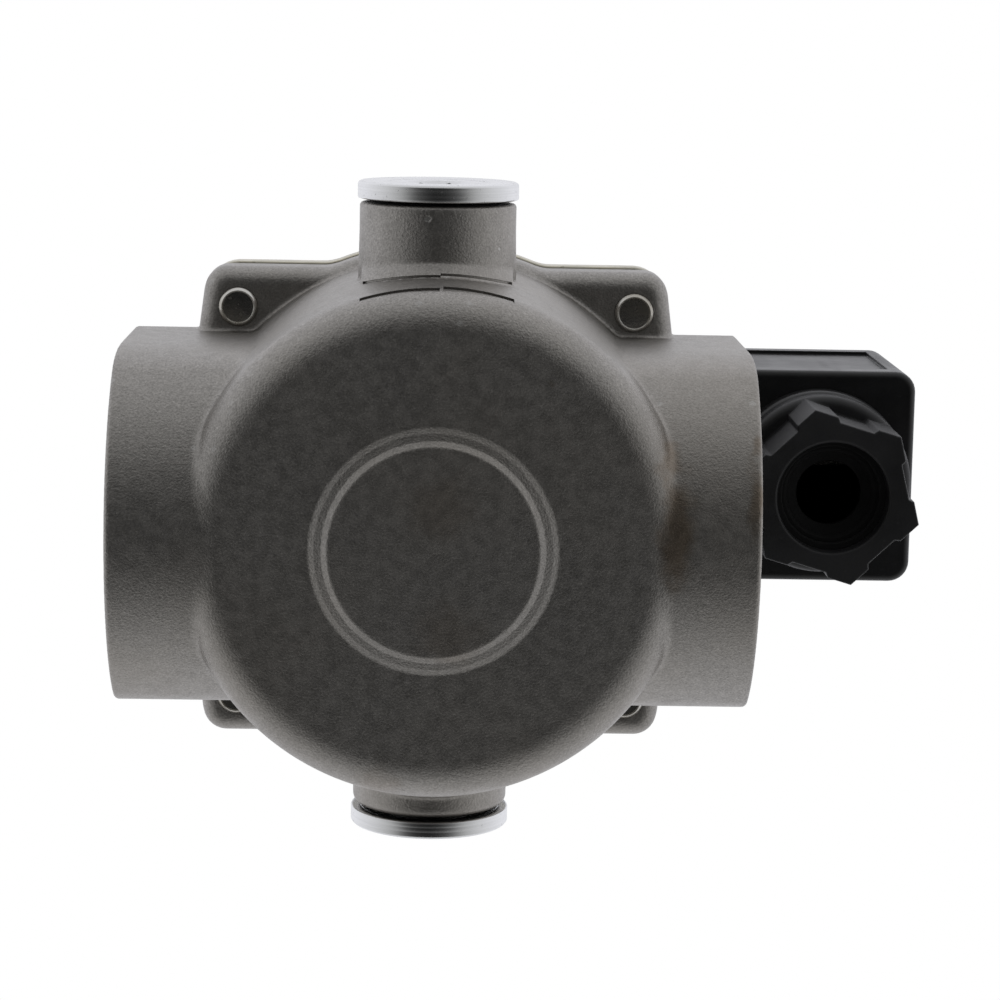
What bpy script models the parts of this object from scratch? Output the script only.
"""Gas solenoid valve: a die-cast body with two threaded pipe ports, a flanged
cover held by four screws, a plunger and disc on a seat, a coil with its plug-in
connector and cable gland, and two pressure test plugs.

Blender 4.5, metres, +Z up. The origin is the centre of the round pad's flat
face under the bowl. +Z is the plunger's axis and X is the flow axis, with the
inlet at -X. The front is -Y.
The dimensions below are millimetres, and heights are measured from the ports'
axis, which lies AXIS_HEIGHT above the origin. A name ending in _X or _Z that
holds a pair gives the low and high ends. Each section starts with its own sizes.
"""

import math

import bmesh
import bpy
from mathutils import Matrix

MM = 0.001
ORIGIN = (0, 0, 0)
GAP = 0.3                   # between neighbouring parts
OVERCUT = 1.0               # a cutter's reach past the surface it opens
MERGE_DISTANCE = 0.00001    # metres, for turned shapes
WELD_DISTANCE = 0.000005    # metres, for meshes made from curves

# --- sizes shared between sections ---
AXIS_HEIGHT = 23.4          # ports' axis above the pad's face
PORT_BORE_R = 12.6          # Rp 3/4 thread, drawn as a plain bore
PORT_BORE_END = 19.5
FLANGE_HALF = 27.8
FLANGE_CORNER = 3.4
FLANGE_R = 30.4
SHOULDER_R = 19.4           # step in the upper chamber that carries the tube's foot
SHOULDER_Z = 13.1
SEAT_TOP = -1.8
SEAL_GROOVE_R = (20.35, 23.05)
SEAL_GROOVE_BOTTOM = 12.8
COVER_Z = (15.5, 18.5)
TUBE_GROOVE_R = (11.2, 13.0)
SCREW_HOLE_R = 2.7
SCREW_POS = 23.1            # M5 screws at (+-23.1, +-23.1)
SCREW_PLACES = [(x * SCREW_POS, y * SCREW_POS) for x, y in ((1, 1), (-1, 1), (-1, -1), (1, -1))]
COIL_Z = (20.5, 72.0)
BASE_X = 33.8               # outer face of the coil's terminal base
CONNECTOR_Z = (36.8, 63.4)
CONNECTOR_AXIS_Z = sum(CONNECTOR_Z) / 2
TEST_SEAT_R = 8.1           # seal seat in a test boss's mouth
TEST_SEAT_DEPTH = 0.6
# Test points: side, outward axis, its sign on Y, boss end, bore depth, plug stem's inner end
TEST_POINTS = (
    ("front", "-Y", -1, 35.9, 9.0, 29.0),
    ("back", "Y", 1, 32.9, 8.0, 25.7),
)

FINISHES = {                # base colour, roughness, metallic
    "cast": ((0.42, 0.42, 0.41), 0.55, 0.9),
    "zinc": ((0.55, 0.51, 0.44), 0.35, 1.0),
    "steel": ((0.56, 0.56, 0.55), 0.3, 1.0),
    "machined": ((0.66, 0.66, 0.65), 0.28, 1.0),
    "brass": ((0.65, 0.48, 0.22), 0.3, 1.0),
    "copper": ((0.62, 0.28, 0.14), 0.35, 1.0),
    "black": ((0.018, 0.018, 0.018), 0.5, 0.0),
    "rubber": ((0.012, 0.012, 0.012), 0.75, 0.0),
    "ptfe": ((0.75, 0.74, 0.7), 0.5, 0.0),
    "nylon": ((0.55, 0.52, 0.45), 0.5, 0.0),
    "label": ((0.7, 0.7, 0.69), 0.4, 0.6),
}

AXIS_TURNS = {              # turns local Z onto the named axis
    "Z": Matrix.Identity(4),
    "X": Matrix.Rotation(math.pi / 2, 4, "Y"),
    "Y": Matrix.Rotation(-math.pi / 2, 4, "X"),
    "-Y": Matrix.Rotation(math.pi / 2, 4, "X"),
}

for old in list(bpy.data.objects):
    bpy.data.objects.remove(old, do_unlink=True)

PARTS = bpy.data.collections.new("gas_valve")
CUTTERS = bpy.data.collections.new("cutters")
bpy.context.scene.collection.children.link(PARTS)
bpy.context.scene.collection.children.link(CUTTERS)


# ------------------------------------------------------------- shape builders
def add_part(name, data):
    obj = bpy.data.objects.new(name, data)
    PARTS.objects.link(obj)
    return obj


def place(obj, position, axis="Z", spin=0.0):
    """Puts obj at a point measured from the ports' axis, local Z along an axis."""
    x, y, z = position
    turn = AXIS_TURNS[axis] @ Matrix.Rotation(math.radians(spin), 4, "Z")
    obj.rotation_euler = turn.to_euler()
    obj.location = (x * MM, y * MM, (z + AXIS_HEIGHT) * MM)


def turned(name, outline, position=ORIGIN, axis="Z", segments=32):
    """A half-section (radius, z) revolved about local Z. It is closed unless
    both its ends lie on the axis."""
    mesh = bpy.data.meshes.new(name)
    count = len(outline)
    edges = [(i, i + 1) for i in range(count - 1)]
    if outline[0][0] > 0 or outline[-1][0] > 0:
        edges.append((count - 1, 0))
    mesh.from_pydata([(radius * MM, 0, z * MM) for radius, z in outline], edges, [])
    obj = add_part(name, mesh)
    screw = obj.modifiers.new("Turn", "SCREW")
    screw.angle = 2 * math.pi
    screw.steps = screw.render_steps = segments
    screw.use_merge_vertices = True
    screw.merge_threshold = MERGE_DISTANCE
    screw.use_smooth_shade = True
    place(obj, position, axis)
    return obj


def ring(name, outer, inner, low, high, segments=32, position=ORIGIN):
    outline = [(outer, high), (outer, low), (inner, low), (inner, high)]
    return turned(name, outline, position, segments=segments)


def o_ring(name, ring_radius, cord_radius, position, axis="Z", segments=20):
    """A torus about local Z, its section a hexagon."""
    section = [(ring_radius + cord_radius * math.cos(angle), cord_radius * math.sin(angle))
               for angle in (math.radians(90 - 60 * k) for k in range(6))]
    return turned(name, section, position, axis, segments)


def cylinder(name, radius, low, high, position=ORIGIN, axis="Z", segments=6, spin=0.0):
    """A cylinder, or a prism when segments is small, from low to high on local Z."""
    mesh = bpy.data.meshes.new(name)
    shape = bmesh.new()
    bmesh.ops.create_cone(shape, cap_ends=True, segments=segments, radius1=radius * MM,
                          radius2=radius * MM, depth=(high - low) * MM)
    bmesh.ops.translate(shape, verts=shape.verts, vec=(0, 0, (high + low) / 2 * MM))
    shape.to_mesh(mesh)
    shape.free()
    obj = add_part(name, mesh)
    place(obj, position, axis, spin)
    if segments > 8:
        mesh.shade_smooth()
        mesh.set_sharp_from_angle(angle=math.radians(35))
    return obj


def block(name, x_span, y_span, z_span):
    """A box, its origin at its centre."""
    spans = (x_span, y_span, z_span)
    mesh = bpy.data.meshes.new(name)
    shape = bmesh.new()
    bmesh.ops.create_cube(shape, size=1.0)
    bmesh.ops.scale(shape, verts=shape.verts, vec=[(high - low) * MM for low, high in spans])
    shape.to_mesh(mesh)
    shape.free()
    obj = add_part(name, mesh)
    place(obj, [(low + high) / 2 for low, high in spans])
    return obj


def to_mesh(curve_object, name):
    """Replaces a curve object by a welded mesh object in the same place."""
    bpy.context.view_layer.update()
    graph = bpy.context.evaluated_depsgraph_get()
    mesh = bpy.data.meshes.new_from_object(curve_object.evaluated_get(graph))
    shape = bmesh.new()
    shape.from_mesh(mesh)
    bmesh.ops.remove_doubles(shape, verts=shape.verts, dist=WELD_DISTANCE)
    bmesh.ops.recalc_face_normals(shape, faces=shape.faces)
    shape.to_mesh(mesh)
    shape.free()
    mesh.name = name
    obj = add_part(name, mesh)
    obj.matrix_world = curve_object.matrix_world.copy()
    bpy.data.objects.remove(curve_object, do_unlink=True)
    return obj


def slab(name, outlines, low, high, across="Z"):
    """Flat closed outlines, the later ones holes, filled and extruded between
    two positions on Z, or on X with the outlines in Y and Z."""
    curve = bpy.data.curves.new(name, "CURVE")
    curve.dimensions = "2D"
    curve.fill_mode = "BOTH"
    curve.extrude = (high - low) / 2 * MM
    for points in outlines:
        spline = curve.splines.new("POLY")
        spline.points.add(len(points) - 1)
        for point, (x, y) in zip(spline.points, points):
            point.co = (x * MM, y * MM, 0, 1)
        spline.use_cyclic_u = True
    flat = add_part(name + "_outline", curve)
    middle = (high + low) / 2
    if across == "X":
        flat.rotation_euler = Matrix(((0, 0, 1), (1, 0, 0), (0, 1, 0))).to_euler()
        flat.location = (middle * MM, 0, AXIS_HEIGHT * MM)
    else:
        flat.location = (0, 0, (middle + AXIS_HEIGHT) * MM)
    return to_mesh(flat, name)


def add_boolean(obj, helper, operation):
    """Combines helper into obj, and sets the helper aside as a hidden wire shape."""
    PARTS.objects.unlink(helper)
    CUTTERS.objects.link(helper)
    helper.hide_render = True
    helper.display_type = "WIRE"
    step = obj.modifiers.new(helper.name, "BOOLEAN")
    step.operation = operation
    step.solver = "EXACT"
    step.object = helper


def cut(obj, helper):
    add_boolean(obj, helper, "DIFFERENCE")


def join(obj, helper):
    add_boolean(obj, helper, "UNION")


def finish(obj, kind):
    colour, roughness, metallic = FINISHES[kind]
    material = bpy.data.materials.new(obj.name + "_" + kind)
    material.use_nodes = True
    shader = next(n for n in material.node_tree.nodes if n.type == "BSDF_PRINCIPLED")
    shader.inputs["Base Color"].default_value = (*colour, 1.0)
    shader.inputs["Roughness"].default_value = roughness
    shader.inputs["Metallic"].default_value = metallic
    material.diffuse_color = (*colour, 1.0)
    obj.data.materials.clear()
    obj.data.materials.append(material)
    return obj


def carry(parent, *pieces):
    """Parents the pieces without moving them."""
    bpy.context.view_layer.update()
    for piece in pieces:
        piece.parent = parent
        piece.matrix_parent_inverse = parent.matrix_world.inverted()


def group(name, parent, pieces, position=ORIGIN):
    """An empty on a joint's axis, which carries that body's pieces."""
    empty = add_part(name, None)
    place(empty, position)
    if parent is not None:
        carry(parent, empty)
    carry(empty, *pieces)
    return empty


# ------------------------------------------------------------------- outlines
def circle(radius, count, centre=(0, 0), start=0.0):
    angles = [start + 2 * math.pi * k / count for k in range(count)]
    return [(centre[0] + radius * math.cos(angle), centre[1] + radius * math.sin(angle))
            for angle in angles]


def arc(centre, radius, first, last, steps):
    """Points from one angle to another, in degrees."""
    angles = [math.radians(first + (last - first) * k / steps) for k in range(steps + 1)]
    return [(centre[0] + radius * math.cos(angle), centre[1] + radius * math.sin(angle))
            for angle in angles]


def chord_outline(radius, height, above):
    """The part of a circle above or below a height."""
    angle = math.degrees(math.asin(height / radius))
    first, last = (angle, 180 - angle) if above else (-180 - angle, angle)
    return arc((0, 0), radius, first, last, 16)


def flange_outline(grow=0.0):
    """A rounded square whose sides bulge out to a circle. The bulges start just
    proud of the sides, so that no three points lie on one line."""
    proud = 0.05
    half = FLANGE_HALF + grow
    radius = FLANGE_R + grow
    bulge = math.degrees(math.acos((half + proud) / radius))
    corner_centre = (half - FLANGE_CORNER, half - FLANGE_CORNER)
    quarter = arc((0, 0), radius, -bulge, bulge, 8) + arc(corner_centre, FLANGE_CORNER, 0, 90, 4)
    points = []
    for k in range(4):
        cosine, sine = round(math.cos(k * math.pi / 2)), round(math.sin(k * math.pi / 2))
        points += [(cosine * x - sine * y, sine * x + cosine * y) for x, y in quarter]
    return points


# ----------------------------------------------------------------- valve body
PORT_HALF_LENGTH = 35.5     # port face to the plunger's axis
PORT_R = 22.1               # rounded underside of a port boss
PORT_HALF_WIDTH = 20.0      # flat sides of a port boss
PORT_TOP = 18.0
PORT_TOP_CORNER = 5.0
PORT_LIP = 4.3              # length of each port end that keeps its full height
PORT_CUT_HALF_Y = 40
PORT_CUT_Z = (14.6, 30)
BOWL_R_TOP = 29.2
BOWL_R_LOW = 28.2
BOWL_BOTTOM = -22.2
BOWL_FILLET = 4.4
PAD_OUTLINE = [             # radius, z
    (13.5, BOWL_BOTTOM), (12.65, -22.8), (12.0, -22.8), (11.3, -AXIS_HEIGHT), (0, -AXIS_HEIGHT)]
FLANGE_BOTTOM = 9.4
FLANGE_TOP = 15.0
BOWL_TOP = FLANGE_TOP - 1   # buried in the flange
LUG_HOLE_Z = (5, 17)
TEST_BOSS_R = 8.85
TEST_BORE_R = 6.5
PILOT_R = 1.2

SEAT_R = 11.0
SEAT_LIP_R = 12.5
PARTITION_Z = (-6.0, -3.2)
LOWER_R = 23.0              # lower chamber: a circle cut flat at +-LOWER_HALF_X
LOWER_HALF_X = 18.2
LOWER_BOTTOM = -18.4
UPPER_R = 18.4
UPPER_CUT_TOP = 22
PASSAGE_R = PORT_BORE_R - 0.3
PASSAGE_INNER = 15          # passages' ends, from the plunger's axis
PASSAGE_OUTER = PORT_BORE_END + 1.5
INLET_PASSAGE_BOTTOM = -0.5
OUTLET_PASSAGE_TOP = PARTITION_Z[0] - 0.3


def port_outline():
    """Port boss in Y and Z: round below, flat sides, rounded corners on top."""
    low = math.degrees(math.acos(PORT_HALF_WIDTH / PORT_R))
    corner_y = PORT_HALF_WIDTH - PORT_TOP_CORNER
    corner_z = PORT_TOP - PORT_TOP_CORNER
    points = arc((0, 0), PORT_R, -180 + low, -low, 20)
    points += arc((corner_y, corner_z), PORT_TOP_CORNER, 0, 90, 4)
    points += arc((-corner_y, corner_z), PORT_TOP_CORNER, 90, 180, 4)
    return points


def make_bowl():
    fillet_centre = (BOWL_R_LOW - BOWL_FILLET, BOWL_BOTTOM + BOWL_FILLET)
    outline = [(0, BOWL_TOP), (BOWL_R_TOP, BOWL_TOP), (BOWL_R_TOP, FLANGE_BOTTOM)]
    outline += arc(fillet_centre, BOWL_FILLET, 0, -90, 4) + PAD_OUTLINE
    return turned("valve_body", outline, segments=56)


def add_outside(body):
    """The port bosses, the flange and the bar that forms both test bosses."""
    ports = slab("ports_solid", [port_outline()], -PORT_HALF_LENGTH, PORT_HALF_LENGTH, "X")
    lip_start = PORT_HALF_LENGTH - PORT_LIP
    cut(ports, block("port_top_cut", (-lip_start, lip_start),
                     (-PORT_CUT_HALF_Y, PORT_CUT_HALF_Y), PORT_CUT_Z))
    join(body, ports)
    join(body, slab("flange_solid", [flange_outline()], FLANGE_BOTTOM, FLANGE_TOP))
    front_end, back_end = (point[3] for point in TEST_POINTS)
    join(body, cylinder("boss_solid", TEST_BOSS_R, -back_end, front_end, axis="-Y", segments=32))


def cut_gas_passages(body):
    for side, name in ((-1, "inlet"), (1, "outlet")):
        ends = sorted((side * PORT_BORE_END, side * (PORT_HALF_LENGTH + OVERCUT)))
        cut(body, cylinder(name + "_bore", PORT_BORE_R, *ends, axis="X", segments=40))
    flat = math.degrees(math.acos(LOWER_HALF_X / LOWER_R))
    lower = (arc((0, 0), LOWER_R, flat, 180 - flat, 12)
             + arc((0, 0), LOWER_R, 180 + flat, 360 - flat, 12))
    cut(body, slab("lower_chamber", [lower], LOWER_BOTTOM, PARTITION_Z[0]))
    partition_low, partition_high = PARTITION_Z
    cut(body, turned("upper_chamber", [
        (0, UPPER_CUT_TOP), (SHOULDER_R, UPPER_CUT_TOP), (SHOULDER_R, SHOULDER_Z),
        (UPPER_R, SHOULDER_Z), (UPPER_R, partition_high), (SEAT_LIP_R, partition_high),
        (SEAT_LIP_R, SEAT_TOP), (SEAT_R, SEAT_TOP), (SEAT_R, partition_low - OVERCUT),
        (0, partition_low - OVERCUT)], segments=40))
    cut(body, slab("inlet_passage", [chord_outline(PASSAGE_R, INLET_PASSAGE_BOTTOM, above=True)],
                   -PASSAGE_OUTER, -PASSAGE_INNER, "X"))
    cut(body, slab("outlet_passage", [chord_outline(PASSAGE_R, OUTLET_PASSAGE_TOP, above=False)],
                   PASSAGE_INNER, PASSAGE_OUTER, "X"))


def make_test_bore(axis, boss_end, depth):
    """Seal seat, plug bore and the pilot hole into the upper chamber."""
    seat, floor, inside = boss_end - TEST_SEAT_DEPTH, boss_end - depth, UPPER_R - OVERCUT
    return turned("test_bore" + axis, [
        (0, boss_end + OVERCUT), (TEST_SEAT_R, boss_end + OVERCUT), (TEST_SEAT_R, seat),
        (TEST_BORE_R, seat), (TEST_BORE_R, floor), (PILOT_R, floor), (PILOT_R, inside),
        (0, inside)], axis=axis, segments=24)


def cut_screw_holes(obj, name, low, high):
    for k, (x, y) in enumerate(SCREW_PLACES, 1):
        cut(obj, cylinder(f"{name}_{k}", SCREW_HOLE_R, low, high, (x, y, 0), segments=20))


def make_valve_body():
    body = make_bowl()
    add_outside(body)
    cut_gas_passages(body)
    for _, axis, _, boss_end, depth, _ in TEST_POINTS:
        cut(body, make_test_bore(axis, boss_end, depth))
    inner, outer = SEAL_GROOVE_R
    cut(body, ring("seal_groove", outer, inner, SEAL_GROOVE_BOTTOM, FLANGE_TOP + OVERCUT, 40))
    cut_screw_holes(body, "lug_hole", *LUG_HOLE_Z)
    return finish(body, "cast")


STRAINER_PITCH = 4.2
STRAINER_HOLE_R = 1.8
STRAINER_THICKNESS = 1.0
STRAINER_RINGS = 2


def make_strainer():
    """A perforated disc: round holes drawn as hexagons in two rings round the first."""
    holes = []
    steps = range(-STRAINER_RINGS, STRAINER_RINGS + 1)
    for i in steps:
        for j in steps:
            if abs(i + j) <= STRAINER_RINGS:
                centre = (STRAINER_PITCH * (i + j / 2), STRAINER_PITCH * j * math.sqrt(3) / 2)
                holes.append(circle(STRAINER_HOLE_R, 6, centre, math.radians(30)))
    face = -(PORT_BORE_END + GAP)
    return finish(slab("inlet_strainer", [circle(PORT_BORE_R - 0.4, 40)] + holes,
                       face - STRAINER_THICKNESS, face, "X"), "steel")


# ------------------------------------------------------- cover and its screws
COVER_GROW = 0.2            # cover's edge beyond the flange's
COVER_HOLE_R = 9.5
TUBE_GROOVE_DEPTH = 1.4
SCREW_R = 2.4
SCREW_TIP = 8.9
HEAD_R = 4.25
HEAD_H = 5.0
SOCKET_R = 2.3
SOCKET_DEPTH = 2.6
WASHER_R = 4.7
WASHER_Z = (COVER_Z[1] + GAP, COVER_Z[1] + GAP + 1.0)


def make_cover_plate():
    plate = slab("cover_plate", [flange_outline(COVER_GROW)], *COVER_Z)
    low, high = COVER_Z[0] - OVERCUT, COVER_Z[1] + OVERCUT
    cut(plate, turned("cover_hole", [(0, high), (COVER_HOLE_R, high), (COVER_HOLE_R, low),
                                     (0, low)]))
    inner, outer = TUBE_GROOVE_R
    cut(plate, ring("tube_seal_groove", outer, inner, low, COVER_Z[0] + TUBE_GROOVE_DEPTH))
    cut_screw_holes(plate, "cover_screw_hole", low, high)
    return finish(plate, "zinc")


def make_cover_screw(k, x, y):
    seat = WASHER_Z[1] + GAP
    top = seat + HEAD_H
    screw = turned(f"cover_screw_{k}", [
        (0, top), (HEAD_R - 0.5, top), (HEAD_R, top - 0.5), (HEAD_R, seat), (SCREW_R, seat),
        (SCREW_R, SCREW_TIP + 0.5), (SCREW_R - 0.45, SCREW_TIP), (1.2, SCREW_TIP),
        (0, SCREW_TIP + 0.7)], (x, y, 0), segments=20)
    cut(screw, cylinder(f"screw_socket_{k}", SOCKET_R, top - SOCKET_DEPTH, top + OVERCUT,
                        (x, y, 0)))
    washer = ring(f"cover_washer_{k}", WASHER_R, SCREW_HOLE_R, *WASHER_Z, 20, (x, y, 0))
    return finish(screw, "zinc"), finish(washer, "zinc")


def make_body_seals():
    """The seals under the cover, round the tube, and between cover and coil."""
    cord = 1.05
    body_seal = o_ring("body_oring", sum(SEAL_GROOVE_R) / 2, cord,
                       (0, 0, SEAL_GROOVE_BOTTOM + GAP + cord), segments=28)
    tube_seal = o_ring("tube_oring", sum(TUBE_GROOVE_R) / 2, 0.6, (0, 0, COVER_Z[0] + 0.65))
    coil_seal = o_ring("coil_oring", 12.0, 0.7, (0, 0, (COVER_Z[1] + COIL_Z[0]) / 2))
    return [finish(seal, "rubber") for seal in (body_seal, tube_seal, coil_seal)]


# -------------------------------------------------------------- plunger group
PLUNGER_R = 8.1
PLUNGER_TOP = 44.0
POCKET_R = 4.6              # spring pocket in the plunger's top
POCKET_FLOOR = 30.0
GUIDE_Z = (20.0, 24.0)
GUIDE_GROOVE_R = 6.9
DISC_R = 14.5
DISC_HOLE_R = 2.8
DISC_Z = (-0.1, 2.3)
DISC_CHAMFER = 0.5
DISC_SEAL_R = (6.0, 14.0)
DISC_NUT_R = 4.9
DISC_NUT_BOTTOM = -3.0
DISC_STUD_END = -3.4


def make_plunger():
    """Spring pocket on top, a groove for the guide ring and a stud through the disc."""
    groove_low, groove_high = GUIDE_Z[0] - GAP, GUIDE_Z[1] + GAP
    stud_radius = DISC_HOLE_R - GAP
    shoulder = DISC_Z[1] + GAP
    return finish(turned("plunger", [
        (0, POCKET_FLOOR), (POCKET_R, POCKET_FLOOR), (POCKET_R, PLUNGER_TOP),
        (PLUNGER_R - 0.4, PLUNGER_TOP), (PLUNGER_R, PLUNGER_TOP - 0.4),
        (PLUNGER_R, groove_high), (GUIDE_GROOVE_R, groove_high),
        (GUIDE_GROOVE_R, groove_low), (PLUNGER_R, groove_low), (PLUNGER_R, shoulder),
        (stud_radius, shoulder), (stud_radius, DISC_STUD_END), (0, DISC_STUD_END)],
        segments=24), "steel")


def make_plunger_group():
    guide = ring("guide_ring", PLUNGER_R + 0.2, GUIDE_GROOVE_R + GAP, *GUIDE_Z, 24)
    low, high = DISC_Z
    disc = turned("valve_disc", [
        (DISC_R - DISC_CHAMFER, high), (DISC_R, high - DISC_CHAMFER), (DISC_R, low),
        (DISC_HOLE_R, low), (DISC_HOLE_R, high)], segments=24)
    seal_inner, seal_outer = DISC_SEAL_R
    seal = ring("disc_seal", seal_outer, seal_inner, SEAT_TOP + GAP, low - GAP, 24)
    nut = cylinder("disc_nut", DISC_NUT_R, DISC_NUT_BOTTOM, low - GAP)
    cut(nut, cylinder("disc_nut_hole", DISC_HOLE_R, DISC_NUT_BOTTOM - OVERCUT, 1, segments=20))
    return [make_plunger(), finish(guide, "ptfe"), finish(disc, "steel"),
            finish(seal, "rubber"), finish(nut, "zinc")]


# ------------------------------------------------------ tube, core and spring
TUBE_R = 9.1
TUBE_BORE_R = 8.6
TUBE_TOP = 70.0
CORE_BOTTOM = 50.0
CORE_R = 8.3
CORE_COLLAR_Z = (TUBE_TOP + GAP, TUBE_TOP + 1.7)
STUD_R = 4.9
STUD_TOP = 83.0
STUD_CHAMFER = 0.7
SHADING_GROOVE_R = (5.3, 7.1)
SHADING_GROOVE_DEPTH = 1.8
SPRING_R = 3.4
SPRING_WIRE_R = 0.5
SPRING_TURNS = 6
SPRING_STEPS = 10           # per turn
SPRING_Z = (31.0, 49.0)     # centre line ends
SPRING_EVEN_SHARE = 0.12    # of the rise, spread evenly; the rest skips the end turns


def make_tube():
    foot_radius = SHOULDER_R - GAP
    foot_low, foot_high = SHOULDER_Z + GAP, COVER_Z[0] - GAP
    return finish(turned("armature_tube", [
        (TUBE_R, TUBE_TOP), (TUBE_R, foot_high), (foot_radius, foot_high),
        (foot_radius, foot_low), (TUBE_BORE_R, foot_low), (TUBE_BORE_R, TUBE_TOP)],
        segments=28), "steel")


def make_core():
    """The fixed core with its stud, and the shading ring in its lower face."""
    collar_low, collar_high = CORE_COLLAR_Z
    core = turned("fixed_core", [
        (0, STUD_TOP), (STUD_R - STUD_CHAMFER, STUD_TOP), (STUD_R, STUD_TOP - STUD_CHAMFER),
        (STUD_R, collar_high), (TUBE_R, collar_high), (TUBE_R, collar_low),
        (CORE_R, collar_low), (CORE_R, CORE_BOTTOM), (0, CORE_BOTTOM)], segments=24)
    inner, outer = SHADING_GROOVE_R
    cut(core, ring("shading_groove", outer, inner, CORE_BOTTOM - OVERCUT,
                   CORE_BOTTOM + SHADING_GROOVE_DEPTH, 24))
    shading = ring("shading_ring", outer - GAP, inner + GAP, CORE_BOTTOM,
                   CORE_BOTTOM + SHADING_GROOVE_DEPTH - GAP, 24)
    return finish(core, "steel"), finish(shading, "copper")


def make_spring():
    curve = bpy.data.curves.new("return_spring", "CURVE")
    curve.dimensions = "3D"
    curve.bevel_depth = SPRING_WIRE_R * MM
    curve.bevel_resolution = 1
    curve.use_fill_caps = True
    last = SPRING_TURNS * SPRING_STEPS
    end_turn = 1.0 / SPRING_TURNS
    spline = curve.splines.new("POLY")
    spline.points.add(last)
    for k, point in enumerate(spline.points):
        along = k / last
        angle = 2 * math.pi * k / SPRING_STEPS
        middle = min(max((along - end_turn) / (1 - 2 * end_turn), 0.0), 1.0)
        rise = SPRING_EVEN_SHARE * along + (1 - SPRING_EVEN_SHARE) * middle
        z = SPRING_Z[0] + (SPRING_Z[1] - SPRING_Z[0]) * rise
        point.co = (SPRING_R * math.cos(angle) * MM, SPRING_R * math.sin(angle) * MM, z * MM, 1)
    wire = add_part("return_spring_wire", curve)
    wire.location = (0, 0, AXIS_HEIGHT * MM)
    return finish(to_mesh(wire, "return_spring"), "steel")


# ----------------------------------------------------------------------- coil
COIL_R = 26.0
COIL_CHAMFER = 1.5
COIL_HOLE_R = 10
BASE_INNER_X = 14
BASE_HALF_Y = 13.0
BASE_Z = (37.5, 63.5)
YOKE_R = 23.1
YOKE_HOLE_R = 9.8
YOKE_CAN_BORE_R = 21.2
YOKE_PLATE = (2.0, 4.5)     # faces of each end plate, inward from the coil's end
BOBBIN_R = 20.8
BOBBIN_NECK_R = 11.2
BOBBIN_BORE_R = 9.9
BOBBIN_FLANGE = 1.4
BOBBIN_Z = (COIL_Z[0] + 4.9, COIL_Z[1] - 4.9)
POCKET_X = 30.0             # inner end of the pin and screw pockets
PIN_TIP_X = 43.6
PINS = (                    # name, centre y and z, size in y and z
    ("1", -9.0, CONNECTOR_AXIS_Z, 0.8, 6.3),
    ("2", 9.0, CONNECTOR_AXIS_Z, 0.8, 6.3),
    ("earth", 0.0, CONNECTOR_AXIS_Z + 8.0, 6.3, 0.8),
)


def pin_block(name, x_span, pin, grow=0.0):
    """A box round a pin, grown on all four sides."""
    label, y, z, wide, tall = pin
    return block(name + label, x_span, (y - wide / 2 - grow, y + wide / 2 + grow),
                 (z - tall / 2 - grow, z + tall / 2 + grow))


def make_coil_housing():
    low, high = COIL_Z
    housing = turned("coil_housing", [
        (0, high), (COIL_R - COIL_CHAMFER, high), (COIL_R, high - COIL_CHAMFER),
        (COIL_R, low + COIL_CHAMFER), (COIL_R - COIL_CHAMFER, low), (0, low)], segments=40)
    join(housing, block("terminal_base", (BASE_INNER_X, BASE_X), (-BASE_HALF_Y, BASE_HALF_Y),
                        BASE_Z))
    wall, ceiling, floor = YOKE_R + GAP, high - 1.8, low + 1.7
    cut(housing, turned("coil_cavity", [
        (0, high + OVERCUT), (COIL_HOLE_R, high + OVERCUT), (COIL_HOLE_R, ceiling),
        (wall, ceiling), (wall, floor), (COIL_HOLE_R, floor), (COIL_HOLE_R, low - OVERCUT),
        (0, low - OVERCUT)], segments=40))
    pocket_span = (POCKET_X, BASE_X + OVERCUT)
    for pin in PINS:
        cut(housing, pin_block("pin_pocket_", pocket_span, pin, GAP))
    cut(housing, cylinder("screw_pocket", 1.5, *pocket_span, (0, 0, CONNECTOR_AXIS_Z), "X", 16))
    return finish(housing, "black")


def make_coil():
    low, high = COIL_Z
    outer_face, inner_face = YOKE_PLATE
    bottom = ring("yoke_bottom", YOKE_R, YOKE_HOLE_R, low + outer_face, low + inner_face, 28)
    can = ring("yoke_can", YOKE_R, YOKE_CAN_BORE_R, low + inner_face + GAP,
               high - inner_face - GAP, 28)
    top = ring("yoke_top", YOKE_R, YOKE_HOLE_R, high - inner_face, high - outer_face, 28)
    spool_low, spool_high = BOBBIN_Z
    neck_low, neck_high = spool_low + BOBBIN_FLANGE, spool_high - BOBBIN_FLANGE
    bobbin = turned("coil_bobbin", [
        (BOBBIN_R, spool_high), (BOBBIN_R, neck_high), (BOBBIN_NECK_R, neck_high),
        (BOBBIN_NECK_R, neck_low), (BOBBIN_R, neck_low), (BOBBIN_R, spool_low),
        (BOBBIN_BORE_R, spool_low), (BOBBIN_BORE_R, spool_high)], segments=24)
    winding = ring("coil_winding", 20.2, BOBBIN_NECK_R + GAP, neck_low + GAP, neck_high - GAP, 24)
    label = ring("coil_label", 24.0, 12.0, high + GAP, high + 0.7)
    pins = [finish(pin_block("terminal_pin_", (POCKET_X + GAP, PIN_TIP_X), pin), "machined")
            for pin in PINS]
    yoke = [finish(piece, "steel") for piece in (bottom, can, top)]
    return [make_coil_housing(), *yoke, finish(bobbin, "nylon"), finish(winding, "copper"),
            finish(label, "label"), *pins]


COIL_NUT_HOLE_R = 5.3
COIL_WASHER_Z = (COIL_Z[1] + GAP, COIL_Z[1] + 1.6)


def make_coil_washer():
    return finish(ring("coil_washer", 10.5, COIL_NUT_HOLE_R, *COIL_WASHER_Z, 28), "zinc")


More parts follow.
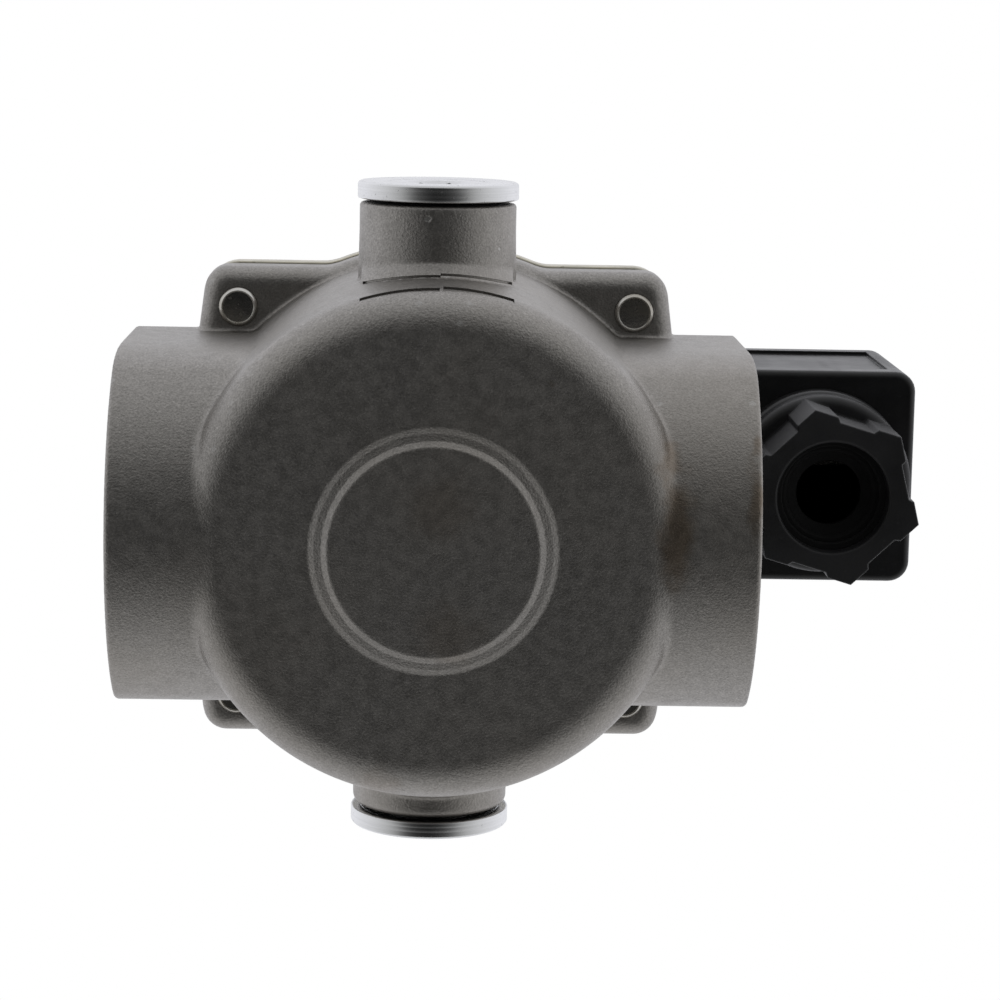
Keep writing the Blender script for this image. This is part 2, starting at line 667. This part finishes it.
def make_coil_nut():
    low = COIL_WASHER_Z[1] + GAP
    nut = cylinder("coil_nut", 9.2, low, low + 7.0)
    cut(nut, cylinder("coil_nut_hole", COIL_NUT_HOLE_R, COIL_Z[1], COIL_Z[1] + 12, segments=24))
    return finish(nut, "zinc")


# -------------------------------------------------------- connector and gland
CONNECTOR_X = (35.0, 61.0)
CONNECTOR_HALF_Y = 13.5
CAVITY_END_X = 55.8
CAVITY_HALF_Y = 11.5
CAVITY_Z = (39.4, 61.0)
INSERT_X = (36.3, 45.5)
GASKET_HALF_Y = 12.4
GASKET_Z = (38.2, 62.0)
CONTACT_SLOT_X = (35.0, 44.2)
SCREW_PLACE = (0, 0, CONNECTOR_AXIS_Z)
GLAND_PLACE = (48.6, 0, 0)
NECK_R = 11.2
NECK_BOTTOM = 33.2
SPIGOT_R = 8.5
SPIGOT_BOTTOM = 26.0
GROMMET_Z = (22.9, SPIGOT_BOTTOM - GAP)
NUT_R = 11.05
NUT_Z = (19.4, 32.8)
NUT_LEDGE = 21.5
NUT_BORE_R = 8.8
NUT_HOLE_R = 6.75
NUT_TURN = 16.7             # one corner of the hexagon, from +X towards +Y


def make_connector_housing():
    housing = block("connector_housing", CONNECTOR_X, (-CONNECTOR_HALF_Y, CONNECTOR_HALF_Y),
                    CONNECTOR_Z)
    bevel = housing.modifiers.new("Round", "BEVEL")
    bevel.width = 2.0 * MM
    bevel.segments = 2
    neck_top = CONNECTOR_Z[0] + 2.5
    join(housing, turned("gland_neck", [
        (0, neck_top), (NECK_R, neck_top), (NECK_R, NECK_BOTTOM), (SPIGOT_R, NECK_BOTTOM),
        (SPIGOT_R, SPIGOT_BOTTOM), (0, SPIGOT_BOTTOM)], GLAND_PLACE))
    cut(housing, block("plug_cavity", (CONNECTOR_X[0] - OVERCUT, CAVITY_END_X),
                       (-CAVITY_HALF_Y, CAVITY_HALF_Y), CAVITY_Z))
    cut(housing, cylinder("cable_bore", 6.4, 24, 41, GLAND_PLACE, segments=24))
    cut(housing, turned("screw_recess", [
        (0, 63), (3.4, 63), (3.4, 57.4), (1.6, 57.4), (1.6, 54), (0, 54)], SCREW_PLACE, "X", 24))
    return finish(housing, "black")


def make_connector():
    insert_half_y = CAVITY_HALF_Y - GAP
    insert = block("terminal_insert", INSERT_X, (-insert_half_y, insert_half_y),
                   (CAVITY_Z[0] + GAP, CAVITY_Z[1] - GAP))
    gasket = block("connector_gasket", (BASE_X + GAP, CONNECTOR_X[0] - GAP),
                   (-GASKET_HALF_Y, GASKET_HALF_Y), GASKET_Z)
    contacts = []
    for pin in PINS:
        contact = pin_block("contact_", (INSERT_X[0] + GAP, INSERT_X[1] - GAP), pin, 0.7)
        cut(contact, pin_block("contact_slot_", CONTACT_SLOT_X, pin, GAP))
        contacts.append(finish(contact, "brass"))
        cut(insert, pin_block("insert_slot_", (35.0, 47.0), pin, 1.0))
        cut(gasket, pin_block("gasket_slot_", (33.0, 36.0), pin, GAP))
    for piece in (insert, gasket):
        cut(piece, cylinder(piece.name + "_hole", 1.6, 32, 48, SCREW_PLACE, "X", 16))
    seal = o_ring("screw_oring", 2.15, 0.45, (57.95, 0, CONNECTOR_AXIS_Z), "X")
    grommet = ring("gland_grommet", 8.2, 4.0, *GROMMET_Z, 28, GLAND_PLACE)
    rubbers = [finish(piece, "rubber") for piece in (gasket, seal, grommet)]
    return [make_connector_housing(), finish(insert, "black"), *rubbers, *contacts]


def make_connector_screw():
    screw = turned("connector_screw", [
        (0, 60.6), (2.5, 60.6), (2.9, 60.2), (2.9, 58.6), (1.2, 58.6), (1.2, 31.0), (0, 31.0)],
        SCREW_PLACE, "X", 20)
    cut(screw, block("screw_slot", (59.6, 62), (-4, 4),
                     (CONNECTOR_AXIS_Z - 0.4, CONNECTOR_AXIS_Z + 0.4)))
    return finish(screw, "zinc")


def make_gland_washer():
    return finish(ring("gland_washer", 8.2, 6.0, NUT_LEDGE + GAP, GROMMET_Z[0] - GAP, 28,
                       GLAND_PLACE), "black")


def make_gland_nut():
    low, high = NUT_Z[0] - OVERCUT, NUT_Z[1] + OVERCUT
    nut = cylinder("gland_nut", NUT_R, *NUT_Z, GLAND_PLACE, spin=NUT_TURN)
    cut(nut, turned("gland_nut_bore", [
        (0, high), (NUT_BORE_R, high), (NUT_BORE_R, NUT_LEDGE), (NUT_HOLE_R, NUT_LEDGE),
        (NUT_HOLE_R, low), (0, low)], GLAND_PLACE, segments=28))
    return finish(nut, "black")


# ----------------------------------------------------------------- test plugs
COLLAR_R = 9.1
COLLAR_H = 2.0
COLLAR_CHAMFER = 0.2
COLLAR_GAP = 0.7            # collar to boss; the seal sits in the boss's seat
STEM_R = 6.1


def make_test_plug(side, axis, boss_end, stem_end):
    inner = boss_end + COLLAR_GAP
    outer = inner + COLLAR_H
    plug = turned("test_plug_" + side, [
        (0, outer), (COLLAR_R - COLLAR_CHAMFER, outer), (COLLAR_R, outer - COLLAR_CHAMFER),
        (COLLAR_R, inner), (STEM_R, inner), (STEM_R, stem_end), (0, stem_end)],
        axis=axis, segments=28)
    cut(plug, cylinder("plug_socket_" + side, 3.46, outer - 4.5, outer + OVERCUT, axis=axis))
    return finish(plug, "machined")


def make_test_seal(side, axis, sign, boss_end):
    y = sign * (boss_end + (COLLAR_GAP - TEST_SEAT_DEPTH) / 2)
    return finish(o_ring(side + "_plug_oring", 7.2, 0.45, (0, y, 0), axis), "rubber")


# ------------------------------------------------------------------- assembly
root = group("fixed_group", None, [
    make_valve_body(), make_cover_plate(), make_strainer(), make_spring(), make_tube(),
    *make_core(), *make_body_seals()])
for number, (screw_x, screw_y) in enumerate(SCREW_PLACES, 1):
    carry(root, *make_cover_screw(number, screw_x, screw_y))

group("plunger_group", root, make_plunger_group())
coil = group("coil_group", root, make_coil())
coil_washer = group("coil_washer_group", root, [make_coil_washer()])
group("coil_nut_group", coil_washer, [make_coil_nut()])

connector = group("connector_group", coil, make_connector(), SCREW_PLACE)
group("connector_screw_group", connector, [make_connector_screw()], SCREW_PLACE)
gland_washer = group("gland_washer_group", connector, [make_gland_washer()], GLAND_PLACE)
group("gland_nut_group", gland_washer, [make_gland_nut()], GLAND_PLACE)

for side, axis, sign, boss_end, _, stem_end in TEST_POINTS:
    seal = group(side + "_oring_group", root, [make_test_seal(side, axis, sign, boss_end)])
    group(side + "_plug_group", seal, [make_test_plug(side, axis, boss_end, stem_end)])
bpy.context.view_layer.update()
